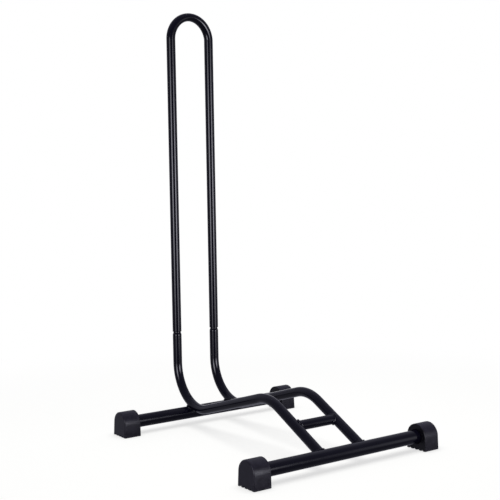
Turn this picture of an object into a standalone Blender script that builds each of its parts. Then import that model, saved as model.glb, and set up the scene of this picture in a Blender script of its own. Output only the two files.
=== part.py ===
# Bike display stand: a welded base of steel tube and a tall hoop that plugs onto it.
# Lengths are in metres and +Z is up. A wheel rolls in from the front, along +Y.
# The origin is on the floor, in the middle of the stand's outline.

import math

import bmesh
import bpy
from mathutils import Matrix, Vector

# Steel tube sizes
CROSS_TUBE_DIAMETER = 0.022
CROSS_TUBE_WALL = 0.0012
CROSS_TUBE_LENGTH = 0.357
FRAME_TUBE_DIAMETER = 0.016
FRAME_TUBE_WALL = 0.0012

# Layout of the base, seen from the side
CROSS_TUBE_SPACING = 0.378      # between the axes of the rear and the front cross tube
UPRIGHT_SPACING = 0.080         # between the axes of the two uprights
UPRIGHT_SETBACK = 0.038         # uprights stand this far behind the rear cross tube's axis
BEND_RADIUS = 0.074             # centre line of both bends of a lower tube
RISE_DEGREES = 16.35            # slope of the middle run
CREST_DISTANCE = 0.241          # from the rear cross tube's axis to the crest's corner
BRIDGE_FROM_FRONT = 0.075       # along the falling run, from the front cross tube's axis

# Hoop and its plug joints
STAND_HEIGHT = 0.738            # floor to the top of the hoop
HOOP_END_HEIGHT = 0.1635        # floor to the hoop's lower ends
HOOP_END_ROUND = 0.0006
CROWN_FLATTENING = 0.10         # share of the diameter that the bend squashes at the crown
SPIGOT_LENGTH = 0.045           # how far a spigot runs up inside the hoop
SPIGOT_CHAMFER = 0.0012
SWAGE_TAPER = 0.006             # length of the cone from spigot to full diameter

# Rubber end caps, which are the feet
FOOT_LENGTH = 0.0302
FOOT_WIDTH = 0.041              # also the diameter of its arch
FOOT_DROP = 0.0215              # cross tube axis down to the floor
FOOT_END_WALL = 0.004
FOOT_END_DRAFT = 0.0012         # the outer end leans out by this much below the arch
FOOT_MOUTH_DRAFT = 0.0004       # and so does the inner end
FOOT_END_ROUND = 0.0015
FOOT_MOUTH_ROUND = 0.0008
TREAD_RIBS = 5
GROOVE_WIDTH = 0.0045
GROOVE_DEPTH = 0.0025
GROOVE_DRAFT = 0.0004           # each side of a groove leans in by this much

# Weld beads
BEAD_RADIUS = 0.0021
SEAT_BEAD_RING = 0.006          # ring round the point where two tubes touch
BRIDGE_BEAD_EASE = 0.0012       # keeps the bead off the sharp tips of the bridge's ends

FIT_GAP = 0.0003                # between pieces that touch

# Facets
FRAME_SIDES = 20
CROSS_SIDES = 32
HOOP_STEPS = 24
LOW_BEND_STEPS = 14
CREST_BEND_STEPS = 7
ARCH_STEPS = 18
BEAD_STEPS = 28
BEAD_SIDES = 8
CUTTER_MARGIN = 0.002
WELD_DISTANCE = 0.00001         # closes a sweep on its first circle

# Derived radii and places
CROSS_RADIUS = CROSS_TUBE_DIAMETER / 2
FRAME_RADIUS = FRAME_TUBE_DIAMETER / 2
FRAME_BORE_RADIUS = FRAME_RADIUS - FRAME_TUBE_WALL
SPIGOT_RADIUS = FRAME_BORE_RADIUS - FIT_GAP
SPIGOT_BORE_RADIUS = SPIGOT_RADIUS - FRAME_TUBE_WALL
HALF_SPACING = UPRIGHT_SPACING / 2
RISE_ANGLE = math.radians(RISE_DEGREES)
AXIS_HEIGHT = FOOT_DROP

BACK_REACH = max(UPRIGHT_SETBACK + FRAME_RADIUS, FOOT_WIDTH / 2)
FRONT_REACH = CROSS_TUBE_SPACING + FOOT_WIDTH / 2
REAR_Y = (FRONT_REACH - BACK_REACH) / 2
FRONT_Y = REAR_Y - CROSS_TUBE_SPACING
UPRIGHT_Y = REAR_Y + UPRIGHT_SETBACK

# The low bend rests on the rear cross tube, which sets how high its centre lies.
SEAT_DISTANCE = CROSS_RADIUS + FIT_GAP + FRAME_RADIUS
LOW_CENTRE_FORWARD = BEND_RADIUS - UPRIGHT_SETBACK
LOW_CENTRE_UP = math.sqrt((BEND_RADIUS + SEAT_DISTANCE) ** 2 - LOW_CENTRE_FORWARD ** 2)

# Corners of the lower tube's centre line: forward of and above the rear cross tube's axis
LOW_CORNER_UP = LOW_CENTRE_UP - BEND_RADIUS * math.tan((math.pi / 2 + RISE_ANGLE) / 2)
CREST_UP = LOW_CORNER_UP + (CREST_DISTANCE + UPRIGHT_SETBACK) * math.tan(RISE_ANGLE)
FALL_ANGLE = math.atan2(CREST_UP, CROSS_TUBE_SPACING - CREST_DISTANCE)

STEEL_COLOUR = (0.012, 0.012, 0.016, 1.0)
RUBBER_COLOUR = (0.017, 0.017, 0.020, 1.0)


def clear_scene():
    for old in list(bpy.data.objects):
        bpy.data.objects.remove(old, do_unlink=True)


# Building blocks

def add_material(piece, colour, roughness, metallic):
    material = bpy.data.materials.new(piece.name + "_material")
    material.use_nodes = True
    shader = material.node_tree.nodes["Principled BSDF"]
    shader.inputs["Base Color"].default_value = colour
    shader.inputs["Roughness"].default_value = roughness
    shader.inputs["Metallic"].default_value = metallic
    piece.data.materials.append(material)


def add_coated_steel(piece):
    add_material(piece, STEEL_COLOUR, 0.38, 0.0)


def add_rubber(piece):
    add_material(piece, RUBBER_COLOUR, 0.75, 0.0)


def finish_mesh(bm, name):
    bmesh.ops.recalc_face_normals(bm, faces=bm.faces)
    mesh = bpy.data.meshes.new(name)
    bm.to_mesh(mesh)
    bm.free()
    mesh.shade_smooth()
    mesh.set_sharp_from_angle(angle=math.radians(35))
    return mesh


def add_object(name, mesh, place):
    piece = bpy.data.objects.new(name, mesh)
    piece.location = place
    bpy.context.collection.objects.link(piece)
    return piece


def make_cutter(piece):
    piece.hide_render = True
    piece.display_type = "WIRE"
    return piece


def cut_with(piece, cutter):
    cut = piece.modifiers.new("cut_" + cutter.name, "BOOLEAN")
    cut.operation = "DIFFERENCE"
    cut.solver = "EXACT"
    cut.object = cutter


def station(point, tangent, side, half_side, half_lift):
    """Place a unit circle across a path, stretched to its two half widths."""
    along = tangent.normalized()
    across = (side - along * side.dot(along)).normalized()
    lift = along.cross(across)
    turn = Matrix((across * half_side, lift * half_lift, along)).transposed()
    return Matrix.Translation(point) @ turn.to_4x4()


def sweep(bm, stations, sides):
    """Extrude a circle from station to station; return its first and last edge loops."""
    bmesh.ops.create_circle(bm, segments=sides, radius=1.0, matrix=stations[0])
    first_loop = list(bm.edges)
    loop = first_loop
    for before, after in zip(stations[:-1], stations[1:]):
        grown = bmesh.ops.extrude_edge_only(bm, edges=loop)["geom"]
        verts = [item for item in grown if isinstance(item, bmesh.types.BMVert)]
        edges = [item for item in grown if isinstance(item, bmesh.types.BMEdge)]
        loop = [edge for edge in edges if all(vert in verts for vert in edge.verts)]
        bmesh.ops.transform(bm, matrix=after @ before.inverted(), verts=verts)
    return first_loop, loop


def closed_sweep_mesh(name, stations, sides):
    """Sweep a circle through stations and back to the first one, where it is welded shut."""
    bm = bmesh.new()
    sweep(bm, stations + stations[:1], sides)
    bmesh.ops.remove_doubles(bm, verts=bm.verts, dist=WELD_DISTANCE)
    return finish_mesh(bm, name)


def tube_mesh(name, outer, inner, sides):
    """An open tube: up the outer skin, over the far mouth and back along the bore."""
    return closed_sweep_mesh(name, outer + inner[::-1], sides)


def rod_mesh(name, stations, sides):
    bm = bmesh.new()
    for loop in sweep(bm, stations, sides):
        bmesh.ops.edgeloop_fill(bm, edges=loop)
    return finish_mesh(bm, name)


def ring_mesh(name, points, sides_out, radius, sides):
    """A closed bead: a circle swept along points that return to the start."""
    count = len(points)
    stations = []
    for index in range(count):
        tangent = points[(index + 1) % count] - points[index - 1]
        stations.append(station(points[index], tangent, sides_out[index], radius, radius))
    return closed_sweep_mesh(name, stations, sides)


def turned(steps):
    """Angles once round, offset so that none falls on a tube's own facet line."""
    return [math.tau * (index + 0.5) / steps for index in range(steps)]


def straight_stations(half_length, radius, side):
    """Both ends of a piece of tube along X; side points at one of its facet lines."""
    tangent = Vector((1, 0, 0))
    ends = (-half_length, half_length)
    return [station(Vector((x, 0, 0)), tangent, side, radius, radius) for x in ends]


# Cross tubes, and the envelopes that cut whatever seats on them

def add_cross_tube(name, y):
    half_length = CROSS_TUBE_LENGTH / 2
    bore_radius = CROSS_RADIUS - CROSS_TUBE_WALL
    side = Vector((0, 1, 0))
    mesh = tube_mesh(name, straight_stations(half_length, CROSS_RADIUS, side),
                     straight_stations(half_length, bore_radius, side), CROSS_SIDES)
    tube = add_object(name, mesh, (0, y, AXIS_HEIGHT))
    add_coated_steel(tube)
    envelope = rod_mesh(name + "_envelope",
                        straight_stations(half_length + FIT_GAP, CROSS_RADIUS + FIT_GAP, side),
                        CROSS_SIDES)
    return make_cutter(add_object(name + "_envelope", envelope, (0, y, AXIS_HEIGHT)))


# Lower tubes: spigot, upright, low bend, rising run, crest bend and falling run

def side_point(forward, up):
    """A point beside the rear cross tube's axis, in a lower tube's own plane."""
    return Vector((0, -forward, up))


def lower_path():
    """Centre line points and tangents from the foot of the swage to the front cross tube."""
    path = []
    for step in range(LOW_BEND_STEPS + 1):
        angle = math.pi + (math.pi / 2 + RISE_ANGLE) * step / LOW_BEND_STEPS
        forward = LOW_CENTRE_FORWARD + BEND_RADIUS * math.cos(angle)
        up = LOW_CENTRE_UP + BEND_RADIUS * math.sin(angle)
        path.append((side_point(forward, up), side_point(-math.sin(angle), math.cos(angle))))

    reach = BEND_RADIUS * math.tan((RISE_ANGLE + FALL_ANGLE) / 2)
    start_forward = CREST_DISTANCE - reach * math.cos(RISE_ANGLE)
    start_up = CREST_UP - reach * math.sin(RISE_ANGLE)
    centre_forward = start_forward + BEND_RADIUS * math.sin(RISE_ANGLE)
    centre_up = start_up - BEND_RADIUS * math.cos(RISE_ANGLE)
    for step in range(CREST_BEND_STEPS + 1):
        angle = math.pi / 2 + RISE_ANGLE - (RISE_ANGLE + FALL_ANGLE) * step / CREST_BEND_STEPS
        forward = centre_forward + BEND_RADIUS * math.cos(angle)
        up = centre_up + BEND_RADIUS * math.sin(angle)
        path.append((side_point(forward, up), side_point(math.sin(angle), -math.cos(angle))))

    path.append((side_point(CROSS_TUBE_SPACING, 0), fall_direction()))
    return path


def fall_direction():
    return side_point(math.cos(FALL_ANGLE), -math.sin(FALL_ANGLE))


def lower_stations(spigot_radius, full_radius, tip_chamfer):
    """Circles from the spigot's tip, down the swage and along the bent centre line."""
    side = Vector((1, 0, 0))
    down = Vector((0, 0, -1))
    seat = HOOP_END_HEIGHT - AXIS_HEIGHT
    tip = seat + SPIGOT_LENGTH
    profile = [
        (tip, spigot_radius - tip_chamfer),
        (tip - SPIGOT_CHAMFER, spigot_radius),
        (seat, spigot_radius),
        (seat - SWAGE_TAPER, full_radius),
    ]
    stations = []
    for up, radius in profile:
        stations.append(station(side_point(-UPRIGHT_SETBACK, up), down, side, radius, radius))
    for point, tangent in lower_path():
        stations.append(station(point, tangent, side, full_radius, full_radius))
    return stations


def add_lower_tubes(front_envelope):
    mesh = tube_mesh("lower_tube",
                     lower_stations(SPIGOT_RADIUS, FRAME_RADIUS, SPIGOT_CHAMFER / 2),
                     lower_stations(SPIGOT_BORE_RADIUS, FRAME_BORE_RADIUS, 0),
                     FRAME_SIDES)
    envelope_mesh = rod_mesh("lower_tube_envelope",
                             lower_stations(SPIGOT_RADIUS + FIT_GAP, FRAME_RADIUS + FIT_GAP, 0),
                             FRAME_SIDES)
    envelopes = {}
    for side_name, x in (("left", -HALF_SPACING), ("right", HALF_SPACING)):
        place = (x, REAR_Y, AXIS_HEIGHT)
        tube = add_object(side_name + "_lower_tube", mesh.copy(), place)
        add_coated_steel(tube)
        cut_with(tube, front_envelope)
        cutter = add_object(side_name + "_lower_tube_envelope", envelope_mesh, place)
        envelopes[side_name] = make_cutter(cutter)
    return envelopes


# Bridge tube between the falling runs, coped onto both of them

def bridge_place():
    back = BRIDGE_FROM_FRONT
    forward = CROSS_TUBE_SPACING - back * math.cos(FALL_ANGLE)
    up = back * math.sin(FALL_ANGLE)
    return Vector((0, REAR_Y - forward, AXIS_HEIGHT + up))


def add_bridge_tube(lower_envelopes):
    half_facet = Matrix.Rotation(math.pi / FRAME_SIDES, 3, "X")
    side = half_facet @ fall_direction()
    mesh = tube_mesh("bridge_tube", straight_stations(HALF_SPACING, FRAME_RADIUS, side),
                     straight_stations(HALF_SPACING, FRAME_BORE_RADIUS, side), FRAME_SIDES)
    tube = add_object("bridge_tube", mesh, bridge_place())
    add_coated_steel(tube)
    for envelope in lower_envelopes.values():
        cut_with(tube, envelope)
    rod = rod_mesh("bridge_tube_envelope",
                   straight_stations(HALF_SPACING, FRAME_RADIUS + FIT_GAP, side), FRAME_SIDES)
    return make_cutter(add_object("bridge_tube_envelope", rod, bridge_place()))


# Weld beads

def seat_bead_ring():
    """Ring round the point where the low bend touches the rear cross tube."""
    seat = side_point(LOW_CENTRE_FORWARD, LOW_CENTRE_UP).normalized()
    along = side_point(seat.z, seat.y)
    across = Vector((1, 0, 0))
    middle = seat * (CROSS_RADIUS + FIT_GAP / 2)
    points = []
    sides_out = []
    for angle in turned(BEAD_STEPS):
        x = SEAT_BEAD_RING * math.cos(angle)
        run = SEAT_BEAD_RING * math.sin(angle)
        bend_side = x * x / (2 * FRAME_RADIUS) + run * run / (2 * (BEND_RADIUS + FRAME_RADIUS))
        cross_side = -run * run / (2 * CROSS_RADIUS)
        lift = (bend_side + cross_side) / 2
        points.append(middle + across * x + along * run + seat * lift)
        sides_out.append(across * x + along * run)
    return points, sides_out


def front_bead_ring():
    """Ring where a falling run's skin meets the front cross tube's skin."""
    along = fall_direction()
    across = Vector((1, 0, 0))
    lift = along.cross(across)
    end = side_point(CROSS_TUBE_SPACING, 0)
    points = []
    sides_out = []
    for angle in turned(BEAD_STEPS):
        out = across * math.cos(angle) + lift * math.sin(angle)
        height = FRAME_RADIUS * math.sin(angle)
        back = math.sqrt(CROSS_RADIUS ** 2 - height ** 2)
        points.append(end - along * back + out * FRAME_RADIUS)
        sides_out.append(out)
    return points, sides_out


def bridge_bead_ring():
    """Ring where the bridge's skin meets a lower tube's skin, for the left end."""
    along = fall_direction()
    lift = along.cross(Vector((1, 0, 0)))
    points = []
    sides_out = []
    for angle in turned(BEAD_STEPS):
        out = along * math.cos(angle) + lift * math.sin(angle)
        height = FRAME_RADIUS * math.sin(angle)
        inward = math.sqrt((FRAME_RADIUS + BRIDGE_BEAD_EASE) ** 2 - height ** 2)
        points.append(Vector((inward, 0, 0)) + out * FRAME_RADIUS)
        sides_out.append(out)
    return points, sides_out


def add_bead(name, ring, place, cutters, mirrored):
    points, sides_out = ring
    if mirrored:
        points = [Vector((-point.x, point.y, point.z)) for point in points]
        sides_out = [Vector((-side.x, side.y, side.z)) for side in sides_out]
    bead = add_object(name, ring_mesh(name, points, sides_out, BEAD_RADIUS, BEAD_SIDES), place)
    add_coated_steel(bead)
    for cutter in cutters:
        cut_with(bead, cutter)


def add_beads(rear_envelope, front_envelope, lower_envelopes, bridge_envelope):
    bridge = bridge_place()
    for side_name, sign in (("left", -1), ("right", 1)):
        x = sign * HALF_SPACING
        lower = lower_envelopes[side_name]
        base_place = Vector((x, REAR_Y, AXIS_HEIGHT))
        bridge_end = Vector((x, bridge.y, bridge.z))
        mirrored = sign > 0
        add_bead("weld_rear_" + side_name, seat_bead_ring(), base_place,
                 (rear_envelope, lower), mirrored)
        add_bead("weld_front_" + side_name, front_bead_ring(), base_place,
                 (front_envelope, lower), mirrored)
        add_bead("weld_bridge_" + side_name, bridge_bead_ring(), bridge_end,
                 (bridge_envelope, lower), mirrored)


# Rubber feet: an arched block, bored for the cross tube, with a ribbed tread

def foot_mesh():
    half_width = FOOT_WIDTH / 2
    outline = [Vector((0, -half_width, -FOOT_DROP)), Vector((0, half_width, -FOOT_DROP))]
    for step in range(ARCH_STEPS + 1):
        angle = math.pi * step / ARCH_STEPS
        y = half_width * math.cos(angle)
        z = half_width * math.sin(angle)
        outline.append(Vector((0, y, z)))

    bm = bmesh.new()
    face = bm.faces.new([bm.verts.new(point) for point in outline])
    grown = bmesh.ops.extrude_face_region(bm, geom=[face])["geom"]
    end_verts = [item for item in grown if isinstance(item, bmesh.types.BMVert)]
    bmesh.ops.translate(bm, vec=(FOOT_LENGTH, 0, 0), verts=end_verts)
    bmesh.ops.recalc_face_normals(bm, faces=bm.faces)

    # Below the arch both ends lean out, so each end face folds along the arch's springing.
    for sign in (-1, 1):
        bmesh.ops.connect_verts(bm, verts=springing_verts(bm, sign))
    for vert in bm.verts:
        if vert.co.z < -FOOT_DROP / 2:
            vert.co.x += FOOT_END_DRAFT if vert.co.x > 0 else -FOOT_MOUTH_DRAFT
    round_end(bm, 1, FOOT_END_ROUND, 3)
    round_end(bm, -1, FOOT_MOUTH_ROUND, 1)
    return finish_mesh(bm, "foot")


def springing_verts(bm, sign):
    """The two vertices of one end face where the arch meets the straight walls."""
    middle = FOOT_LENGTH / 2
    return [vert for vert in bm.verts
            if abs(vert.co.z) < WELD_DISTANCE and (vert.co.x - middle) * sign > 0]


def round_end(bm, sign, radius, segments):
    """Round the edges between one end face and the skin around it."""
    bm.normal_update()
    edges = []
    for edge in bm.edges:
        facing = [abs(face.normal.x) > 0.5 for face in edge.link_faces]
        outward = sum(face.normal.x for face in edge.link_faces) * sign
        if facing.count(True) == 1 and outward > 0:
            edges.append(edge)
    bmesh.ops.bevel(bm, geom=edges, offset=radius, offset_type="OFFSET", segments=segments,
                    profile=0.5, affect="EDGES", material=-1)


def add_tread_cutter(name, y):
    """Tapered bars under one cross tube, which cut the grooves of both its feet."""
    half_length = CROSS_TUBE_LENGTH / 2 + FOOT_LENGTH
    rib_width = (FOOT_WIDTH - (TREAD_RIBS - 1) * GROOVE_WIDTH) / TREAD_RIBS
    pitch = rib_width + GROOVE_WIDTH
    bm = bmesh.new()
    for index in range(TREAD_RIBS - 1):
        middle = (index - (TREAD_RIBS - 2) / 2) * pitch
        wide = GROOVE_WIDTH / 2
        narrow = wide - GROOVE_DRAFT
        corners = [(middle - wide, -CUTTER_MARGIN), (middle + wide, -CUTTER_MARGIN),
                   (middle + wide, 0), (middle + narrow, GROOVE_DEPTH),
                   (middle - narrow, GROOVE_DEPTH), (middle - wide, 0)]
        verts = [bm.verts.new((-half_length, across, up)) for across, up in corners]
        grown = bmesh.ops.extrude_face_region(bm, geom=[bm.faces.new(verts)])["geom"]
        end_verts = [item for item in grown if isinstance(item, bmesh.types.BMVert)]
        bmesh.ops.translate(bm, vec=(2 * half_length, 0, 0), verts=end_verts)
    return make_cutter(add_object(name, finish_mesh(bm, name), (0, y, 0)))


def add_feet(row_name, y, cross_envelope):
    tread = add_tread_cutter(row_name + "_tread_grooves", y)
    mouth = CROSS_TUBE_LENGTH / 2 + FIT_GAP + FOOT_END_WALL - FOOT_LENGTH
    for side_name, sign in (("left", -1), ("right", 1)):
        name = "foot_" + row_name + "_" + side_name
        foot = add_object(name, foot_mesh(), (sign * mouth, y, AXIS_HEIGHT))
        foot.rotation_euler.z = math.pi if sign < 0 else 0
        add_rubber(foot)
        cut_with(foot, cross_envelope)
        cut_with(foot, tread)


# Wheel hoop: two legs and a crown whose tube the bending has flattened a little

def hoop_stations(skin_inset):
    """Circles up the left leg, over the crown and down the right leg."""
    side = Vector((0, 1, 0))
    radius = FRAME_RADIUS - skin_inset
    outer_turn = HALF_SPACING + FRAME_RADIUS
    crown_up = STAND_HEIGHT - outer_turn - HOOP_END_HEIGHT
    end_radius = radius if skin_inset else radius - HOOP_END_ROUND
    leg = [(0, end_radius), (HOOP_END_ROUND, radius)]

    stations = []
    for up, size in leg:
        point = Vector((-HALF_SPACING, 0, up))
        stations.append(station(point, Vector((0, 0, 1)), side, size, size))
    for step in range(HOOP_STEPS + 1):
        angle = math.pi - math.pi * step / HOOP_STEPS
        squash = CROWN_FLATTENING * math.sin(angle) ** 4
        half_thickness = FRAME_RADIUS * (1 - squash)
        turn = outer_turn - half_thickness
        point = Vector((turn * math.cos(angle), 0, crown_up + turn * math.sin(angle)))
        tangent = Vector((math.sin(angle), 0, -math.cos(angle)))
        half_side = FRAME_RADIUS * (1 + squash / 2) - skin_inset
        stations.append(station(point, tangent, side, half_side, half_thickness - skin_inset))
    for up, size in reversed(leg):
        point = Vector((HALF_SPACING, 0, up))
        stations.append(station(point, Vector((0, 0, -1)), side, size, size))
    return stations


def add_wheel_hoop():
    mesh = tube_mesh("wheel_hoop", hoop_stations(0), hoop_stations(FRAME_TUBE_WALL), FRAME_SIDES)
    hoop = add_object("wheel_hoop", mesh, (0, UPRIGHT_Y, HOOP_END_HEIGHT))
    add_coated_steel(hoop)


def main():
    clear_scene()
    rear_envelope = add_cross_tube("rear_cross_tube", REAR_Y)
    front_envelope = add_cross_tube("front_cross_tube", FRONT_Y)
    lower_envelopes = add_lower_tubes(front_envelope)
    bridge_envelope = add_bridge_tube(lower_envelopes)
    add_beads(rear_envelope, front_envelope, lower_envelopes, bridge_envelope)
    add_feet("rear", REAR_Y, rear_envelope)
    add_feet("front", FRONT_Y, front_envelope)
    add_wheel_hoop()


main()
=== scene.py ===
# Bike display stand: the finish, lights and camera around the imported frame.
# Lengths are in metres, +Z is up, and a wheel rolls in from the front along +Y.
import math

import bmesh
import bpy
from mathutils import Matrix, Vector


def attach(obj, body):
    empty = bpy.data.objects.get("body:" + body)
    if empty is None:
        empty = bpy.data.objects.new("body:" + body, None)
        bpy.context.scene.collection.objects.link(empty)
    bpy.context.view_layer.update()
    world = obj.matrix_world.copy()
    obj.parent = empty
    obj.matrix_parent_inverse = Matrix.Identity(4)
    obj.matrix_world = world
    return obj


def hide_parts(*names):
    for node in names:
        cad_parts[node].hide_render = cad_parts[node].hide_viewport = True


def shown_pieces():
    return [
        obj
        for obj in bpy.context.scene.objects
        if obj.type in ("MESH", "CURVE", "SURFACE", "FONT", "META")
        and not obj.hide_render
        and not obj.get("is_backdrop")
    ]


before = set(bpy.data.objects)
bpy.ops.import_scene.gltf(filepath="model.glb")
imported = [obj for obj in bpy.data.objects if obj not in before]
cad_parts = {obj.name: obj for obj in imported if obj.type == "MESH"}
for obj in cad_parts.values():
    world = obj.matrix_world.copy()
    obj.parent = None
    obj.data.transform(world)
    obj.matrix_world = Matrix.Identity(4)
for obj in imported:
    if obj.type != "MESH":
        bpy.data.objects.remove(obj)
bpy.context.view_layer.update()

print("frame loaded with", len(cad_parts), "nodes")

# The stand's main lines, as the frame has them
stand = {
    "rearY": 0.17625,           # axis of the rear cross tube
    "tubeSpacing": 0.378,       # forward to the front cross tube's axis
    "axisHeight": 0.0215,
    "halfSpacing": 0.040,       # middle to either lower tube
    "uprightSetback": 0.038,
    "frameRadius": 0.008,
    "crossRadius": 0.011,
    "wall": 0.0012,
    "fitGap": 0.0003,
    "bendRadius": 0.074,
    "riseDegrees": 16.35,
    "crestDistance": 0.241,
    "hoopEndHeight": 0.1635,
}
rearY = stand["rearY"]
frontY = rearY - stand["tubeSpacing"]
axisHeight = stand["axisHeight"]
uprightY = rearY + stand["uprightSetback"]
frameRadius = stand["frameRadius"]
frameBore = frameRadius - stand["wall"]
sideways = Vector((1, 0, 0))
rearward = Vector((0, 1, 0))
upward = Vector((0, 0, 1))

# What all meshes share
meshing = {
    "holdRing": 0.0008,         # a ring this close to a rounding keeps a long wall's shading even
    "seamReach": 0.000002,      # the last ring of a sweep lies this close to its first
    "planeReach": 0.00001,      # vertices this close to a plane lie on it
    "sharpDegrees": 38,
}


# Mesh helpers

def standPoint(forward, up):
    # a point in the plane of a lower tube, measured from the rear cross tube's axis
    return Vector((0, rearY - forward, axisHeight + up))


def standDirection(forward, up):
    return Vector((0, -forward, up)).normalized()


def ringPlace(point, along, side, halfSide, halfLift):
    # where a unit circle sits on a path, and how wide it is drawn there
    along = along.normalized()
    across = (side - along * side.dot(along)).normalized()
    lift = along.cross(across)
    turn = Matrix((across * halfSide, lift * halfLift, along)).transposed()
    return Matrix.Translation(point) @ turn.to_4x4()


def growRings(bm, loop, places):
    # extrude a loop from place to place; returns the new rings of vertices and the last loop
    rings = []
    for before, after in zip(places, places[1:]):
        grown = bmesh.ops.extrude_edge_only(bm, edges=loop)["geom"]
        ring = [item for item in grown if isinstance(item, bmesh.types.BMVert)]
        edges = [item for item in grown if isinstance(item, bmesh.types.BMEdge)]
        loop = [edge for edge in edges if all(vert in ring for vert in edge.verts)]
        bmesh.ops.transform(bm, matrix=after @ before.inverted(), verts=ring)
        rings.append(ring)
    return rings, loop


def sweepCircle(bm, places, sides):
    made = bmesh.ops.create_circle(bm, segments=sides, radius=1.0, matrix=places[0])
    return [made["verts"]] + growRings(bm, list(bm.edges), places)[0]


def sweepTube(outer, inner, sides):
    # up the outer skin, over the far mouth, back along the bore and shut on the first ring
    bm = bmesh.new()
    return bm, sweepCircle(bm, outer + inner[::-1] + outer[:1], sides)


def closeSeam(bm):
    bmesh.ops.remove_doubles(bm, verts=bm.verts, dist=meshing["seamReach"])
    bmesh.ops.recalc_face_normals(bm, faces=bm.faces)


def meshFrom(name, bm):
    mesh = bpy.data.meshes.new(name)
    bm.to_mesh(mesh)
    bm.free()
    return mesh


def addObject(name, data):
    thing = bpy.data.objects.new(name, data)
    bpy.context.collection.objects.link(thing)
    return thing


def makePiece(name, bm, body, material, node):
    mesh = meshFrom(name, bm)
    mesh.shade_smooth()
    mesh.set_sharp_from_angle(angle=math.radians(meshing["sharpDegrees"]))
    mesh.materials.append(material)
    piece = addObject(name, mesh)
    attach(piece, body)
    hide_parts(node)


# Materials

noiseSpan = {"From Min": 0.3, "From Max": 0.7}      # noise keeps mostly to this span
mixFactor, mixFirst, mixSecond, mixResult = 0, 6, 7, 2      # sockets of a Mix node for colours


def hexColour(code):
    # sRGB hex to the linear colour that a shader takes
    parts = [int(code[at:at + 2], 16) / 255 for at in (0, 2, 4)]
    linear = [part / 12.92 if part <= 0.04045 else ((part + 0.055) / 1.055) ** 2.4
              for part in parts]
    return (*linear, 1.0)


def addNode(tree, kind, inputs=None, output=None, **settings):
    # returns the node, or one of its outputs
    node = tree.nodes.new(kind)
    for name, value in settings.items():
        setattr(node, name, value)
    for socket, value in (inputs or {}).items():
        if isinstance(value, bpy.types.NodeSocket):
            tree.links.new(value, node.inputs[socket])
        else:
            node.inputs[socket].default_value = value
    return node if output is None else node.outputs[output]


def newMaterial(name):
    material = bpy.data.materials.new(name)
    material.use_nodes = True
    tree = material.node_tree
    shader = tree.nodes["Principled BSDF"]
    coords = addNode(tree, "ShaderNodeTexCoord", None, "Object")
    return material, tree, shader, coords


# Polyester powder coat, sprayed dry and baked: a satin black with a faint cool cast, soft
# wide highlights, and the slow ripple known as orange peel.
powderCoat = {
    "deep": "060510",
    "thin": "0A0914",
    "cloudSize": 0.055,          # how far apart the coat grows thicker and thinner
    "patchSize": 0.011,          # how far apart it bakes smoother and rougher
    "roughnessLow": 0.10,
    "roughnessHigh": 0.15,
    "ior": 1.5,
    "peelSize": 0.0026,          # real peel is 1 to 2 mm; drawn coarser so that it shows
    "peelDepth": 0.000021,
    "weldPeel": 1.6,             # how much deeper the peel is over a weld
    "grainSize": 0.0007,
    "grainDepth": 0.0000025,
    "rubbedFrom": 0.164,         # the hoop's legs slide over the spigots above this height
    "rubbedFade": 0.004,
    "scratch": "34333A",
    "scratchSize": 0.0012,
    "scratchStretch": 0.03,      # draws the scratches out along the spigot
    "scratchFrom": 0.50,
    "scratchFull": 0.62,
    "scratchDulling": 0.22,
}


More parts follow.
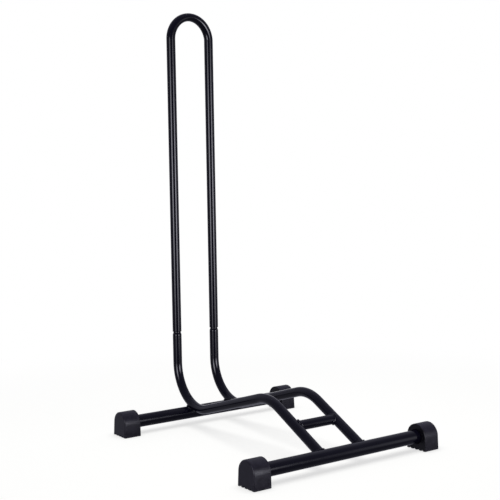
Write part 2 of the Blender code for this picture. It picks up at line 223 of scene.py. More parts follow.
def makePowderCoat(name, values, peelScale=1.0, rubbed=False):
    material, tree, shader, coords = newMaterial(name)
    clouds = addNode(tree, "ShaderNodeTexNoise",
                     {"Vector": coords, "Scale": 1 / values["cloudSize"], "Detail": 3}, "Fac")
    thinness = addNode(tree, "ShaderNodeMapRange", {"Value": clouds, **noiseSpan}, "Result")
    colour = addNode(tree, "ShaderNodeMix",
                     {mixFactor: thinness, mixFirst: hexColour(values["deep"]),
                      mixSecond: hexColour(values["thin"])}, mixResult, data_type="RGBA")
    patches = addNode(tree, "ShaderNodeTexNoise",
                      {"Vector": coords, "Scale": 1 / values["patchSize"], "Detail": 4}, "Fac")
    roughness = addNode(tree, "ShaderNodeMapRange",
                        {"Value": patches, **noiseSpan, "To Min": values["roughnessLow"],
                         "To Max": values["roughnessHigh"]}, "Result")
    if rubbed:
        # long scratches where the hoop's legs have slid over the spigots
        height = addNode(tree, "ShaderNodeSeparateXYZ", {0: coords}, "Z")
        onSpigot = addNode(tree, "ShaderNodeMapRange",
                           {"Value": height, "From Min": values["rubbedFrom"],
                            "From Max": values["rubbedFrom"] + values["rubbedFade"]}, "Result")
        drawn = addNode(tree, "ShaderNodeMapping",
                        {"Vector": coords, "Scale": (1, 1, values["scratchStretch"])}, "Vector")
        streaks = addNode(tree, "ShaderNodeTexNoise",
                          {"Vector": drawn, "Scale": 1 / values["scratchSize"], "Detail": 4,
                           "Roughness": 0.7}, "Fac")
        scratches = addNode(tree, "ShaderNodeMapRange",
                            {"Value": streaks, "From Min": values["scratchFrom"],
                             "From Max": values["scratchFull"]}, "Result")
        scratched = addNode(tree, "ShaderNodeMath", {0: onSpigot, 1: scratches}, 0,
                            operation="MULTIPLY")
        colour = addNode(tree, "ShaderNodeMix",
                         {mixFactor: scratched, mixFirst: colour,
                          mixSecond: hexColour(values["scratch"])}, mixResult, data_type="RGBA")
        roughness = addNode(tree, "ShaderNodeMath",
                            {0: scratched, 1: values["scratchDulling"], 2: roughness}, 0,
                            operation="MULTIPLY_ADD")
    grain = addNode(tree, "ShaderNodeTexNoise",
                    {"Vector": coords, "Scale": 1 / values["grainSize"], "Detail": 2}, "Fac")
    peel = addNode(tree, "ShaderNodeTexNoise",
                   {"Vector": coords, "Scale": 1 / values["peelSize"], "Detail": 2}, "Fac")
    fine = addNode(tree, "ShaderNodeBump",
                   {"Height": grain, "Distance": values["grainDepth"]}, "Normal")
    bump = addNode(tree, "ShaderNodeBump",
                   {"Height": peel, "Distance": values["peelDepth"] * peelScale,
                    "Normal": fine}, "Normal")
    tree.links.new(colour, shader.inputs["Base Color"])
    tree.links.new(roughness, shader.inputs["Roughness"])
    tree.links.new(bump, shader.inputs["Normal"])
    shader.inputs["IOR"].default_value = values["ior"]
    return material


# Black rubber, compression moulded: matte and slightly dusty, with a fine leathery grain
# from the mould, a cloudy bloom, and a scuffed, paler tread.
mouldedRubber = {
    "body": "131119",
    "bloom": "1D1B25",
    "bloomSize": 0.009,
    "roughnessLow": 0.31,
    "roughnessHigh": 0.44,
    "ior": 1.5,
    "grainSize": 0.0011,         # the mould's grain is about 0.3 mm; drawn coarser to show
    "grainDepth": 0.00009,
    "mouthPaintedShade": "050409",       # painted shade: the mouth's face is drawn darker, for the shade round the tube
    "mouthAside": 0.1528,        # the mouths lie just inside this distance from the middle
    "mouthFade": 0.0006,
    "scuff": "3B3A3F",
    "scuffHeight": 0.0035,       # the scuffs fade out this far above the floor
    "scuffSize": 0.003,
    "scuffFrom": 0.42,
    "scuffFull": 0.60,
}


def makeRubber(name, values):
    material, tree, shader, coords = newMaterial(name)
    bloom = addNode(tree, "ShaderNodeTexNoise",
                    {"Vector": coords, "Scale": 1 / values["bloomSize"], "Detail": 5,
                     "Roughness": 0.6}, "Fac")
    bloomed = addNode(tree, "ShaderNodeMapRange", {"Value": bloom, **noiseSpan}, "Result")
    colour = addNode(tree, "ShaderNodeMix",
                     {mixFactor: bloomed, mixFirst: hexColour(values["body"]),
                      mixSecond: hexColour(values["bloom"])}, mixResult, data_type="RGBA")
    roughness = addNode(tree, "ShaderNodeMapRange",
                        {"Value": bloom, **noiseSpan, "To Min": values["roughnessLow"],
                         "To Max": values["roughnessHigh"]}, "Result")
    place = addNode(tree, "ShaderNodeSeparateXYZ", {0: coords}).outputs
    # painted shade: the mouth's face round the tube is drawn darker, as if in shade
    aside = addNode(tree, "ShaderNodeMath", {0: place["X"]}, 0, operation="ABSOLUTE")
    paintedShadeOnMouth = addNode(tree, "ShaderNodeMapRange",
                      {"Value": aside, "From Min": values["mouthAside"],
                       "From Max": values["mouthAside"] + values["mouthFade"],
                       "To Min": 1, "To Max": 0}, "Result")
    colour = addNode(tree, "ShaderNodeMix",
                     {mixFactor: paintedShadeOnMouth, mixFirst: colour,
                      mixSecond: hexColour(values["mouthPaintedShade"])}, mixResult, data_type="RGBA")
    onTread = addNode(tree, "ShaderNodeMapRange",
                      {"Value": place["Z"], "From Min": 0, "From Max": values["scuffHeight"],
                       "To Min": 1, "To Max": 0}, "Result")
    marks = addNode(tree, "ShaderNodeTexNoise",
                    {"Vector": coords, "Scale": 1 / values["scuffSize"], "Detail": 4,
                     "Roughness": 0.7}, "Fac")
    scuffs = addNode(tree, "ShaderNodeMapRange",
                     {"Value": marks, "From Min": values["scuffFrom"],
                      "From Max": values["scuffFull"]}, "Result")
    scuffed = addNode(tree, "ShaderNodeMath", {0: onTread, 1: scuffs}, 0, operation="MULTIPLY")
    colour = addNode(tree, "ShaderNodeMix",
                     {mixFactor: scuffed, mixFirst: colour,
                      mixSecond: hexColour(values["scuff"])}, mixResult, data_type="RGBA")
    grain = addNode(tree, "ShaderNodeTexNoise",
                    {"Vector": coords, "Scale": 1 / values["grainSize"], "Detail": 3,
                     "Roughness": 0.6}, "Fac")
    bump = addNode(tree, "ShaderNodeBump",
                   {"Height": grain, "Distance": values["grainDepth"]}, "Normal")
    tree.links.new(colour, shader.inputs["Base Color"])
    tree.links.new(roughness, shader.inputs["Roughness"])
    tree.links.new(bump, shader.inputs["Normal"])
    shader.inputs["IOR"].default_value = values["ior"]
    return material


coatedTube = makePowderCoat("satinPowderCoatOnTube", powderCoat)
coatedSpigotTube = makePowderCoat("satinPowderCoatRubbedOnSpigot", powderCoat, rubbed=True)
coatedWeld = makePowderCoat("satinPowderCoatOnWeld", powderCoat, powderCoat["weldPeel"])
rubber = makeRubber("mouldedBlackRubber", mouldedRubber)
print("materials made")


# Cross tubes: plain lengths of tube with deburred ends inside the caps
crossTube = {
    "length": 0.357,
    "endRound": 0.0004,         # of the skin's edge; the bore's edge is eased half as much
    "sides": 80,
}


def addCrossTube(name, node, y):
    half = crossTube["length"] / 2
    ease = crossTube["endRound"]
    radius = stand["crossRadius"]
    bore = radius - stand["wall"]

    def places(size, sizeAtEnd):
        marks = ((-half, sizeAtEnd), (ease - half, size), (half - ease, size), (half, sizeAtEnd))
        return [ringPlace(Vector((x, y, axisHeight)), sideways, rearward, ring, ring)
                for x, ring in marks]

    bm = sweepTube(places(radius, radius - ease), places(bore, bore + ease / 2),
                   crossTube["sides"])[0]
    closeSeam(bm)
    makePiece(name, bm, "base", coatedTube, node)


addCrossTube("rearCrossTube", "rear_cross_tube", rearY)
addCrossTube("frontCrossTube", "front_cross_tube", frontY)
print("cross tubes made")


# Lower tubes: swaged spigot, upright, low bend, rising run, crest bend, coped falling run
lowerTube = {
    "spigotLength": 0.045,
    "swageTaper": 0.006,
    "swageSteps": 8,
    "tipRound": 0.0012,
    "tipEase": 0.0007,          # how far the spigot's tip is drawn in
    "lowBendSteps": 72,
    "crestBendSteps": 36,
    "sides": 64,
}
bendRadius = stand["bendRadius"]
riseAngle = math.radians(stand["riseDegrees"])
seatDistance = stand["crossRadius"] + stand["fitGap"] + frameRadius
lowForward = bendRadius - stand["uprightSetback"]
lowUp = math.sqrt((bendRadius + seatDistance) ** 2 - lowForward ** 2)
cornerUp = lowUp - bendRadius * math.tan((math.pi / 2 + riseAngle) / 2)
crestUp = cornerUp + (stand["crestDistance"] + stand["uprightSetback"]) * math.tan(riseAngle)
fallAngle = math.atan2(crestUp, stand["tubeSpacing"] - stand["crestDistance"])
fall = standDirection(math.cos(fallAngle), -math.sin(fallAngle))
fallLift = fall.cross(sideways)
frontCentre = standPoint(stand["tubeSpacing"], 0)


def bendMarks(forward, up, startAngle, turn, steps, sense):
    # points and directions round one bend of the centre line
    marks = []
    for step in range(steps + 1):
        angle = startAngle + turn * step / steps
        away, rise = math.cos(angle), math.sin(angle)
        marks.append((standPoint(forward + bendRadius * away, up + bendRadius * rise),
                      standDirection(-rise * sense, away * sense)))
    return marks


def lowerPath():
    path = bendMarks(lowForward, lowUp, math.pi, math.pi / 2 + riseAngle,
                     lowerTube["lowBendSteps"], 1)
    reach = bendRadius * math.tan((riseAngle + fallAngle) / 2)
    startForward = stand["crestDistance"] - reach * math.cos(riseAngle)
    startUp = crestUp - reach * math.sin(riseAngle)
    path += bendMarks(startForward + bendRadius * math.sin(riseAngle),
                      startUp - bendRadius * math.cos(riseAngle),
                      math.pi / 2 + riseAngle, -(riseAngle + fallAngle),
                      lowerTube["crestBendSteps"], -1)
    path.append((frontCentre, fall))
    return path


def lowerPlaces(x, spigotRadius, fullRadius, tipEase):
    seat = stand["hoopEndHeight"] - axisHeight
    tip = seat + lowerTube["spigotLength"]
    profile = [(tip, spigotRadius - tipEase)]
    for degrees in (30, 60, 90):
        turn = math.radians(degrees)
        profile.append((tip - lowerTube["tipRound"] * (1 - math.cos(turn)),
                        spigotRadius - tipEase * (1 - math.sin(turn))))
    hold = meshing["holdRing"]
    profile += [(tip - lowerTube["tipRound"] - hold, spigotRadius), (seat + hold, spigotRadius)]
    for step in range(lowerTube["swageSteps"] + 1):
        share = step / lowerTube["swageSteps"]
        ease = share * share * (3 - 2 * share)      # the swage runs out smoothly both ways
        profile.append((seat - lowerTube["swageTaper"] * share,
                        spigotRadius + (fullRadius - spigotRadius) * ease))
    profile.append((seat - lowerTube["swageTaper"] - hold, fullRadius))
    shift = sideways * x
    places = [ringPlace(standPoint(-stand["uprightSetback"], up) + shift, -upward, sideways,
                        radius, radius) for up, radius in profile]
    for point, along in lowerPath():
        places.append(ringPlace(point + shift, along, sideways, fullRadius, fullRadius))
    return places


def copeOnto(ring, centre, along, lift, radius):
    # slide a ring's vertices along its tube until they lie on the tube it meets
    for vert in ring:
        offset = vert.co - centre
        height = offset.dot(lift)
        reach = math.sqrt(max(radius * radius - height * height, 0))
        vert.co -= along * (offset.dot(along) + reach)


def addLowerTube(name, node, x):
    spigotRadius = frameBore - stand["fitGap"]
    outer = lowerPlaces(x, spigotRadius, frameRadius, lowerTube["tipEase"])
    inner = lowerPlaces(x, spigotRadius - stand["wall"], frameBore, 0)
    bm, rings = sweepTube(outer, inner, lowerTube["sides"])
    for ring in (rings[len(outer) - 1], rings[len(outer)]):
        copeOnto(ring, frontCentre, fall, fallLift, stand["crossRadius"] + stand["fitGap"])
    closeSeam(bm)
    makePiece(name, bm, "base", coatedSpigotTube, node)


addLowerTube("leftLowerTube", "left_lower_tube", -stand["halfSpacing"])
addLowerTube("rightLowerTube", "right_lower_tube", stand["halfSpacing"])
print("lower tubes made")


# Bridge tube, coped at both ends onto the falling runs
bridge = {
    "fromFront": 0.075,         # along the falling run, from the front cross tube's axis
    "sides": 64,
}
bridgeCentre = frontCentre - fall * bridge["fromFront"]


def addBridge():
    half = stand["halfSpacing"] - frameRadius / 2

    def places(radius):
        return [ringPlace(bridgeCentre + sideways * x, sideways, fall, radius, radius)
                for x in (-half, half)]

    bm, rings = sweepTube(places(frameRadius), places(frameBore), bridge["sides"])
    # the sweep's rings lie at the left end, twice at the right and twice at the left
    for ring, sign in zip(rings, (-1, 1, 1, -1, -1)):
        centre = bridgeCentre + sideways * stand["halfSpacing"] * sign
        copeOnto(ring, centre, sideways * sign, fallLift, frameRadius + stand["fitGap"])
    closeSeam(bm)
    makePiece("bridgeTube", bm, "base", coatedTube, "bridge_tube")


addBridge()
print("bridge tube made")


# Weld beads: a rippled bead laid round each joint and drawn into the corner of the two tubes
bead = {
    "radius": 0.0019,
    "ripplePitch": 0.0020,
    "rippleDepth": 0.07,        # share of the bead's radius
    "wander": 0.18,             # how much the hand swells and thins it
    "wanderTurns": 3,           # swells on the way round
    "sidePhase": 1.7,           # shifts the swells from the left side to the right
    "stepsPerRipple": 8,
    "sides": 20,
    "seatRing": 0.0060,         # ring round the point where two tubes touch
    "ease": 0.0008,
    "settlings": 24,            # times the bead is pushed out of both tubes
    "mergeReach": 0.00002,
    "shortestEdge": 0.00001,
}


def clearOfRod(point, centre, along, radius):
    # move a point out of a straight tube
    offset = point - centre
    radial = offset - along * offset.dot(along)
    if radial.length < radius:
        point = point + radial.normalized() * (radius - radial.length)
    return point


def clearOfLowBend(point, x):
    # move a point out of the low bend, whose centre line is an arc
    middle = standPoint(lowForward, lowUp) + sideways * x
    flat = point - middle
    flat.x = 0
    onLine = middle + flat.normalized() * bendRadius
    offset = point - onLine
    radius = frameRadius + stand["fitGap"] / 2
    if offset.length < radius:
        point = point + offset.normalized() * (radius - offset.length)
    return point


def beadRing(kind, x, turn):
    # one point of a bead's path and the way out from the joint
    if kind == "rear":
        seat = (standPoint(lowForward, lowUp) - standPoint(0, 0)).normalized()
        along = Vector((0, -seat.z, seat.y))
        ring = bead["seatRing"]
        run = ring * math.sin(turn)
        side = ring * math.cos(turn)
        bendSide = side ** 2 / (2 * frameRadius) + run ** 2 / (2 * (bendRadius + frameRadius))
        crossSide = -run ** 2 / (2 * stand["crossRadius"])
        out = sideways * side + along * run
        centre = standPoint(0, 0) + sideways * x
        return centre + seat * (stand["crossRadius"] + (bendSide + crossSide) / 2) + out, out
    height = frameRadius * math.sin(turn)
    if kind == "front":
        out = sideways * math.cos(turn) + fallLift * math.sin(turn)
        back = math.sqrt(stand["crossRadius"] ** 2 - height ** 2)
        return frontCentre + sideways * x - fall * back + out * frameRadius, out
    out = fall * math.cos(turn) + fallLift * math.sin(turn)
    inward = math.sqrt((frameRadius + bead["ease"]) ** 2 - height ** 2)
    end = x - math.copysign(inward, x)
    return bridgeCentre + sideways * end + out * frameRadius, out


def beadPlaces(kind, x, seed):
    ringLength = math.tau * (bead["seatRing"] if kind == "rear" else frameRadius)
    ripples = round(ringLength / bead["ripplePitch"])
    steps = ripples * bead["stepsPerRipple"]
    marks = [beadRing(kind, x, math.tau * (step + 0.5) / steps) for step in range(steps)]
    places = []
    for step in range(steps):
        point, out = marks[step]
        ahead = marks[(step + 1) % steps][0] - marks[step - 1][0]
        crescent = abs(math.sin(math.pi * step / bead["stepsPerRipple"])) - 0.5
        turn = math.tau * step / steps
        sway = math.sin(turn * bead["wanderTurns"] + seed) * math.sin(turn + seed * 2)
        radius = bead["radius"] * (1 + bead["rippleDepth"] * crescent + bead["wander"] * sway)
        places.append(ringPlace(point, ahead, out, radius, radius))
    return places + places[:1]


def addBead(name, node, kind, x, seed):
    bm = bmesh.new()
    sweepCircle(bm, beadPlaces(kind, x, seed), bead["sides"])
    tubeClear = frameRadius + stand["fitGap"] / 2
    crossClear = stand["crossRadius"] + stand["fitGap"] / 2
    fallingRun = (frontCentre + sideways * x, fall, tubeClear)
    rods = {
        "rear": [(standPoint(0, 0), sideways, crossClear)],
        "front": [(frontCentre, sideways, crossClear), fallingRun],
        "bridge": [(bridgeCentre, sideways, tubeClear), fallingRun],
    }[kind]
    for vert in bm.verts:
        point = vert.co.copy()
        for settling in range(bead["settlings"]):
            for rod in rods:
                point = clearOfRod(point, *rod)
            if kind == "rear":
                point = clearOfLowBend(point, x)
        vert.co = point
    bmesh.ops.remove_doubles(bm, verts=bm.verts, dist=bead["mergeReach"])
    bmesh.ops.dissolve_degenerate(bm, edges=bm.edges, dist=bead["shortestEdge"])
    bmesh.ops.recalc_face_normals(bm, faces=bm.faces)
    makePiece(name, bm, "base", coatedWeld, node)


for kind in ("rear", "front", "bridge"):
    for sideName, sign in (("Left", -1), ("Right", 1)):
        addBead("weld" + kind.capitalize() + sideName, "weld_" + kind + "_" + sideName.lower(),
                kind, sign * stand["halfSpacing"], bead["sidePhase"] * sign + len(kind))
print("weld beads made")


# Feet: rubber caps with an arched back, a bore for the tube and a ribbed sole
foot = {
    "length": 0.0302,
    "halfWidth": 0.0205,
    "endWall": 0.004,
    "endDraft": 0.00115,        # both ends lean out below the arch
    "mouthDraft": 0.0004,
    "endRound": 0.0024,
    "mouthRound": 0.0010,
    "soleRound": 0.0009,
    "ribs": 5,
    "grooveWidth": 0.0045,
    "grooveDepth": 0.0025,
    "grooveDraft": 0.0004,
    "ribRound": 0.0007,
    "ribRoundSteps": 4,
    "leadIn": 0.0009,           # the bore's mouth is eased so that the tube finds its way
    "archSteps": 64,
    "roundSteps": 7,
}


def footOutline(bm):
    # the outline in the plane X = 0: a ribbed sole, then the arch spun over the axis
    half = foot["halfWidth"]
    drop = -axisHeight
    ribWidth = (2 * half - (foot["ribs"] - 1) * foot["grooveWidth"]) / foot["ribs"]
    pitch = ribWidth + foot["grooveWidth"]
    wide = foot["grooveWidth"] / 2
    narrow = wide - foot["grooveDraft"]
    sole = [(-half, drop)]
    for groove in range(foot["ribs"] - 1):
        middle = (groove - (foot["ribs"] - 2) / 2) * pitch
        sole += [(middle - wide, drop), (middle - narrow, drop + foot["grooveDepth"]),
                 (middle + narrow, drop + foot["grooveDepth"]), (middle + wide, drop)]
    sole.append((half, drop))
    soleVerts = [bm.verts.new((0, across, up)) for across, up in sole]
    springing = bm.verts.new((0, half, 0))
    bmesh.ops.spin(bm, geom=[springing], cent=(0, 0, 0), axis=(1, 0, 0), angle=math.pi,
                   steps=foot["archSteps"], use_merge=False)
    farSpringing = min(bm.verts, key=lambda vert: (vert.co - Vector((0, -half, 0))).length)
    for first, second in zip(soleVerts, soleVerts[1:]):
        bm.edges.new((first, second))
    bm.edges.new((soleVerts[-1], springing))
    bm.edges.new((farSpringing, soleVerts[0]))
    bmesh.ops.edgeloop_fill(bm, edges=bm.edges)
    bmesh.ops.bevel(bm, geom=soleVerts, affect="VERTICES", offset=foot["ribRound"],
                    offset_type="OFFSET", segments=foot["ribRoundSteps"], profile=0.5,
                    material=-1)
    bmesh.ops.delete(bm, geom=list(bm.faces), context="FACES_ONLY")


def footLevels():
    # how far along X each ring stands, and how far the arch and the sole are drawn in there
    steps = foot["roundSteps"]
    hold = meshing["holdRing"]
    turns = [math.pi / 2 * step / steps for step in range(steps + 1)]
    levels = [(0, foot["mouthRound"] + hold, foot["soleRound"] + hold)]
    for turn in turns:
        share = 1 - math.sin(turn)
        levels.append((foot["mouthRound"] * (1 - math.cos(turn)), foot["mouthRound"] * share,
                       foot["soleRound"] * share))
    for turn in reversed(turns):
        share = 1 - math.sin(turn)
        levels.append((foot["length"] - foot["endRound"] * (1 - math.cos(turn)),
                       foot["endRound"] * share, foot["soleRound"] * share))
    levels.append((foot["length"], foot["endRound"] + hold, foot["soleRound"] + hold))
    return levels


def addBoreCutter():
    bore = stand["crossRadius"] + stand["fitGap"]
    ease = foot["leadIn"]
    marks = ((-ease, bore + 2 * ease), (ease, bore), (foot["length"] - foot["endWall"], bore))
    bm = bmesh.new()
    rings = sweepCircle(bm, [ringPlace(sideways * x, sideways, rearward, size, size)
                             for x, size in marks], crossTube["sides"])
    for ring in (rings[0], rings[-1]):
        bmesh.ops.contextual_create(bm, geom=ring)
    bmesh.ops.recalc_face_normals(bm, faces=bm.faces)
    return addObject("boreCutter", meshFrom("boreCutter", bm))


def addFootBlank():
    bm = bmesh.new()
    footOutline(bm)
    levels = footLevels()
    firstRing = list(bm.verts)
    firstLoop = list(bm.edges)
    rings, lastLoop = growRings(bm, firstLoop,
                                [Matrix.Translation(sideways * level[0]) for level in levels])
    for ring, (x, inset, lift) in zip([firstRing] + rings, levels):
        for vert in ring:
            vert.co.y *= 1 - inset / foot["halfWidth"]
            vert.co.z *= 1 - (inset / foot["halfWidth"] if vert.co.z > 0 else lift / axisHeight)
    for loop in (firstLoop, lastLoop):
        bmesh.ops.edgeloop_fill(bm, edges=loop)
    # each end is split where its draft starts, at the height of the tube's axis
    for x in (0, foot["length"]):
        folds = [vert for vert in bm.verts if abs(vert.co.z) < meshing["planeReach"]
                 and abs(vert.co.x - x) < meshing["planeReach"]]
        bmesh.ops.connect_verts(bm, verts=folds)
    for vert in bm.verts:
        share = max(-vert.co.z / axisHeight, 0)
        along = vert.co.x / foot["length"]
        vert.co.x += share * (along * foot["endDraft"] - (1 - along) * foot["mouthDraft"])
    bmesh.ops.recalc_face_normals(bm, faces=bm.faces)
    return addObject("footBlank", meshFrom("footBlank", bm))


def footMesh():
    # the blank with its bore, around X from the mouth at 0 to the closed end
    blank = addFootBlank()
    cutter = addBoreCutter()
    cut = blank.modifiers.new("bore", "BOOLEAN")
    cut.operation = "DIFFERENCE"
    cut.solver = "EXACT"
    cut.object = cutter
    ready = bpy.data.meshes.new_from_object(
        blank.evaluated_get(bpy.context.evaluated_depsgraph_get()))
    for thing in (blank, cutter):
        bpy.data.objects.remove(thing, do_unlink=True)
    return ready


def addFeet():
    ready = footMesh()
    mouth = crossTube["length"] / 2 + stand["fitGap"] + foot["endWall"] - foot["length"]
    for rowName, y in (("Rear", rearY), ("Front", frontY)):
        for sideName, sign in (("Left", -1), ("Right", 1)):
            bm = bmesh.new()
            bm.from_mesh(ready)
            if sign < 0:
                bmesh.ops.rotate(bm, cent=(0, 0, 0), matrix=Matrix.Rotation(math.pi, 3, "Z"),
                                 verts=bm.verts)
            bmesh.ops.translate(bm, vec=(sign * mouth, y, axisHeight), verts=bm.verts)
            makePiece("foot" + rowName + sideName, bm, "base", rubber,
                      "foot_" + rowName.lower() + "_" + sideName.lower())


addFeet()
print("feet made")


# Wheel hoop: one long U of tube, slightly flattened where its crown was bent
hoop = {
    "height": 0.738,
    "crownFlattening": 0.10,    # share of the diameter at the middle of the crown
    "crownSteps": 150,
    "endRound": 0.0006,         # of the skin's edge; the bore's edge is eased a third as much
    "sides": 64,
    "pinchUp": 0.0035,          # the inside of the bend is pinched a little where it ends
    "pinchHalf": 0.0045,
    "pinchDepth": 0.00026,
    "pinchRings": 0.001,        # spacing of the rings on the leg just below it
}


def hoopPlaces(skinInset):
    outerTurn = stand["halfSpacing"] + frameRadius
    crownUp = hoop["height"] - outerTurn
    ease = hoop["endRound"]
    radius = frameRadius - skinInset
    leg = []
    for degrees in (0, 30, 60, 90):
        turn = math.radians(degrees)
        drawn = ease * (1 - math.sin(turn))
        leg.append((stand["hoopEndHeight"] + ease * (1 - math.cos(turn)),
                    radius + drawn / 3 if skinInset else radius - drawn))
    leg.append((stand["hoopEndHeight"] + ease + meshing["holdRing"], radius))
    leg += [(crownUp - hoop["pinchRings"] * step, radius) for step in (3, 2, 1)]
    places = [ringPlace(Vector((-stand["halfSpacing"], uprightY, up)), upward, rearward,
                        size, size) for up, size in leg]
    for step in range(hoop["crownSteps"] + 1):
        angle = math.pi * (1 - step / hoop["crownSteps"])
        squash = hoop["crownFlattening"] * math.sin(angle) ** 4
        halfThickness = frameRadius * (1 - squash)
        turn = outerTurn - halfThickness
        point = Vector((turn * math.cos(angle), uprightY, crownUp + turn * math.sin(angle)))
        along = Vector((math.sin(angle), 0, -math.cos(angle)))
        halfSide = frameRadius * (1 + squash / 2) - skinInset
        places.append(ringPlace(point, along, rearward, halfSide, halfThickness - skinInset))
    places += [ringPlace(Vector((stand["halfSpacing"], uprightY, up)), -upward, rearward,
                         size, size) for up, size in reversed(leg)]
    return places


def pinchRightSpring(verts):
    # the small dent that the bending tool left on the inside of the right leg
    middle = hoop["height"] - stand["halfSpacing"] - frameRadius + hoop["pinchUp"]
    for vert in verts:
        reach = abs(vert.co.z - middle) / hoop["pinchHalf"]
        inward = stand["halfSpacing"] - vert.co.x
        if reach < 1 and 0 < inward < 2 * frameRadius:
            facing = min(inward / frameRadius, 1)
            vert.co.x += hoop["pinchDepth"] * facing ** 2 * (1 + math.cos(math.pi * reach)) / 2


def addHoop():
    bm = sweepTube(hoopPlaces(0), hoopPlaces(stand["wall"]), hoop["sides"])[0]
    pinchRightSpring(bm.verts)
    closeSeam(bm)
    makePiece("wheelHoop", bm, "hoop", coatedTube, "wheel_hoop")


addHoop()
print("wheel hoop made")


# Floor: pale matte paper that keeps the stand's shadow and runs out into the white background
floor = {
    "radius": 6.0,
    "sides": 96,
    "drop": 0.00005,            # lies just clear of the soles
    "colour": "B6B6AA",
    "roughness": 0.9,
    "glow": 0.68,               # what the camera sees on top of the light that falls there
    "shadowReach": 0.40,        # the shadow shows in full this far from the middle
    "whiteFrom": 1.0,           # and here the floor has run out into white
}


def makePalePaper():
    material, tree, shader, coords = newMaterial("palePaper")
    shader.inputs["Base Color"].default_value = hexColour(floor["colour"])
    shader.inputs["Roughness"].default_value = floor["roughness"]
    shader.inputs["Specular IOR Level"].default_value = 0.0
    camera = addNode(tree, "ShaderNodeLightPath", None, "Is Camera Ray")
    glow = addNode(tree, "ShaderNodeMath", {0: camera, 1: floor["glow"]}, 0,
                   operation="MULTIPLY")
    shine = addNode(tree, "ShaderNodeEmission", {"Strength": glow}, 0)
    near = addNode(tree, "ShaderNodeAddShader", {0: shader.outputs[0], 1: shine}, 0)
    distance = addNode(tree, "ShaderNodeVectorMath", {0: coords}, "Value", operation="LENGTH")
    away = addNode(tree, "ShaderNodeMapRange",
                   {"Value": distance, "From Min": floor["shadowReach"],
                    "From Max": floor["whiteFrom"]}, "Result", interpolation_type="SMOOTHSTEP")
    whiteness = addNode(tree, "ShaderNodeMath", {0: away, 1: camera}, 0, operation="MULTIPLY")
    white = addNode(tree, "ShaderNodeEmission", {"Color": (1, 1, 1, 1), "Strength": 1.0}, 0)
    mixed = addNode(tree, "ShaderNodeMixShader", {0: whiteness, 1: near, 2: white}, 0)
    tree.links.new(mixed, tree.nodes["Material Output"].inputs["Surface"])
    return material


def addFloor():
    bm = bmesh.new()
    bmesh.ops.create_circle(bm, cap_ends=True, segments=floor["sides"], radius=floor["radius"],
                            matrix=Matrix.Translation(upward * -floor["drop"]))
    piece = addObject("paleFloor", meshFrom("paleFloor", bm))
    piece.data.materials.append(makePalePaper())
    piece.visible_glossy = False       # reflections see the ground half of the world instead
    piece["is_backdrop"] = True


addFloor()
print("floor made")


# Studio: a room that is dim towards the camera and pale behind the stand, white paper straight
# behind it, softboxes either side of the camera, and two lamps that don't show in the gloss
studio = {
    "roomColour": (0.93, 0.93, 1.12, 1),
    "roomDimmest": 0.045,       # behind the camera
    "roomPalest": 0.215,        # above and behind the stand
    "roomLean": (0.46, 0.89, 0.30),     # the way the room grows paler
    "wallGlow": 0.12,           # what the pale wall behind the stand adds
    "wallLean": (0.46, 0.89, 0.25),
    "wallFrom": 0.25,           # cosines from the wall's lean, where it starts and is full
    "wallFull": 0.65,
    "paperLean": (0.578, 0.816, 0),     # straight behind the stand, seen from the camera
    "paperFrom": 0.975,         # cosines, as for the wall
    "paperFull": 0.9995,
    "lampColour": (0.95, 0.95, 1.06),
    "lampsTurnAbout": (0, 0.21, 0),     # on the floor, by the uprights
    "softboxDistance": 3.00,
    # name, degrees from the camera towards the right, height, width and height of the cloth,
    # radiance at its heart
    "softboxes": (
        ("leftSoftbox", -31, 0.43, (2.20, 2.15), 7.2),
        ("rightSoftbox", 47, 0.36, (1.80, 2.00), 9.6),
        ("sideSoftbox", 76, 0.10, (1.70, 2.50), 0.72),
    ),
    "topSize": 1.6,
    "topHeight": 2.0,
    "topRadiance": 3.35,
    "fillSize": 1.2,
    "fillPlace": (-1.35, -1.90, 1.10),
    "fillRadiance": 3.95,       # brings a grey card up to its own grey
}


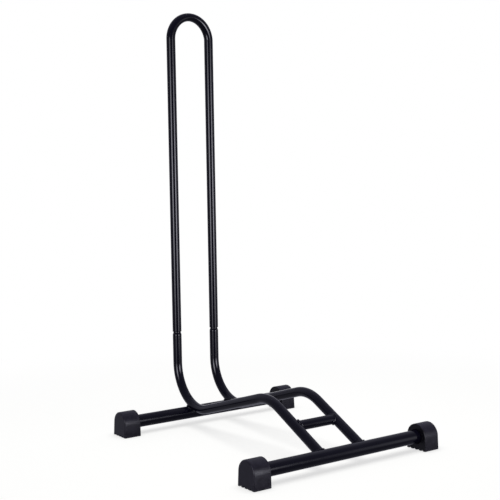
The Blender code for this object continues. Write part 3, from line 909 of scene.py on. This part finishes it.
def addWorld():
    world = bpy.data.worlds.new("dimStudioWithWhitePaper")
    bpy.context.scene.world = world
    world.use_nodes = True
    tree = world.node_tree
    direction = addNode(tree, "ShaderNodeTexCoord", None, "Generated")
    leaning = addNode(tree, "ShaderNodeVectorMath", {0: direction, 1: studio["roomLean"]},
                      "Value", operation="DOT_PRODUCT")
    rising = addNode(tree, "ShaderNodeMapRange",
                     {"Value": leaning, "From Min": -1, "From Max": 1,
                      "To Min": studio["roomDimmest"], "To Max": studio["roomPalest"]}, "Result")
    facingWall = addNode(tree, "ShaderNodeVectorMath", {0: direction, 1: studio["wallLean"]},
                         "Value", operation="DOT_PRODUCT")
    wall = addNode(tree, "ShaderNodeMapRange",
                   {"Value": facingWall, "From Min": studio["wallFrom"],
                    "From Max": studio["wallFull"], "To Max": studio["wallGlow"]},
                   "Result", interpolation_type="SMOOTHSTEP")
    room = addNode(tree, "ShaderNodeMath", {0: rising, 1: wall}, 0)
    # glossy and transmission rays see the white paper where it hangs, the camera all round
    facingPaper = addNode(tree, "ShaderNodeVectorMath", {0: direction, 1: studio["paperLean"]},
                          "Value", operation="DOT_PRODUCT")
    paper = addNode(tree, "ShaderNodeMapRange",
                    {"Value": facingPaper, "From Min": studio["paperFrom"],
                     "From Max": studio["paperFull"]}, "Result",
                    interpolation_type="SMOOTHSTEP")
    rays = addNode(tree, "ShaderNodeLightPath").outputs
    mirrored = addNode(tree, "ShaderNodeMath",
                       {0: rays["Is Glossy Ray"], 1: rays["Is Transmission Ray"]}, 0,
                       operation="MAXIMUM")
    paperMirrored = addNode(tree, "ShaderNodeMath", {0: paper, 1: mirrored}, 0,
                            operation="MULTIPLY")
    white = addNode(tree, "ShaderNodeMath", {0: rays["Is Camera Ray"], 1: paperMirrored}, 0,
                    operation="MAXIMUM")
    strength = addNode(tree, "ShaderNodeMath", {0: room, 1: white}, 0, operation="MAXIMUM")
    colour = addNode(tree, "ShaderNodeMix",
                     {mixFactor: white, mixFirst: studio["roomColour"],
                      mixSecond: (1, 1, 1, 1)}, mixResult, data_type="RGBA")
    background = tree.nodes["Background"]
    tree.links.new(colour, background.inputs["Color"])
    tree.links.new(strength, background.inputs["Strength"])
    world.cycles.sampling_method = "NONE"      # its level depends on the ray that meets it


def addLamp(name, place, target, size, radiance):
    data = bpy.data.lights.new(name, "AREA")
    data.shape = "RECTANGLE"
    data.size, data.size_y = size
    data.energy = radiance * math.pi * size[0] * size[1]
    data.color = studio["lampColour"]
    lamp = addObject(name, data)
    turn = (place - target).to_track_quat("Z", "Y").to_matrix().to_4x4()
    lamp.matrix_world = Matrix.Translation(place) @ turn
    return lamp


def softenLamp(lamp):
    # the cloth is brightest at its heart and fades towards its hem
    lamp.data.use_nodes = True
    tree = lamp.data.node_tree
    onCloth = addNode(tree, "ShaderNodeNewGeometry", None, "Parametric")
    place = addNode(tree, "ShaderNodeSeparateXYZ", {0: onCloth}).outputs
    fades = []
    for name in ("X", "Y"):
        fromHeart = addNode(tree, "ShaderNodeMath", {0: place[name], 1: 0.5}, 0,
                            operation="SUBTRACT")
        distance = addNode(tree, "ShaderNodeMath", {0: fromHeart}, 0, operation="ABSOLUTE")
        fades.append(addNode(tree, "ShaderNodeMapRange",
                             {"Value": distance, "From Min": 0.5, "From Max": 0}, "Result",
                             interpolation_type="SMOOTHSTEP"))
    fade = addNode(tree, "ShaderNodeMath", {0: fades[0], 1: fades[1]}, 0, operation="MULTIPLY")
    tree.links.new(fade, tree.nodes["Emission"].inputs["Strength"])


# Camera: the photograph's own view, found from the tubes' edges
view = {
    "place": (-1.00556, -1.38178, 0.44769),
    "forward": (0.5767, 0.81362, -0.07373),
    "right": (0.81505, -0.57917, -0.01614),
    "lens": 74.161,             # millimetres, as is the sensor
    "sensorWidth": 36,
}


def addCamera():
    data = bpy.data.cameras.new("photoCamera")
    data.sensor_width = view["sensorWidth"]
    data.lens = view["lens"]
    forward = Vector(view["forward"]).normalized()
    right = Vector(view["right"])
    right = (right - forward * right.dot(forward)).normalized()
    turn = Matrix((right, right.cross(forward), -forward)).transposed().to_4x4()
    camera = addObject("photoCamera", data)
    camera.matrix_world = Matrix.Translation(view["place"]) @ turn
    bpy.context.scene.camera = camera


def addLamps():
    standPieces = bpy.data.collections.new("litByTheSoftboxes")
    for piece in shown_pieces():
        standPieces.objects.link(piece)
    middle = Vector(studio["lampsTurnAbout"])
    away = Vector(view["place"]) - middle
    bearing = math.atan2(away.y, away.x)
    reach = studio["softboxDistance"]
    for name, degrees, height, size, radiance in studio["softboxes"]:
        turn = bearing + math.radians(degrees)
        heart = Vector((reach * math.cos(turn), reach * math.sin(turn), height))
        lamp = addLamp(name, middle + heart, middle + upward * height, size, radiance)
        softenLamp(lamp)
        lamp.light_linking.receiver_collection = standPieces
    top = addLamp("topSoftbox", upward * studio["topHeight"], Vector((0, 0, 0)),
                  (studio["topSize"], studio["topSize"]), studio["topRadiance"])
    fill = addLamp("frontFill", Vector(studio["fillPlace"]), middle,
                   (studio["fillSize"], studio["fillSize"]), studio["fillRadiance"])
    fill.light_linking.receiver_collection = standPieces
    for lamp in (top, fill):
        lamp.visible_glossy = False         # they light the colours and leave the gloss alone


addWorld()
addCamera()
addLamps()
bpy.context.scene.view_settings.view_transform = "Standard"
print("studio and camera set")
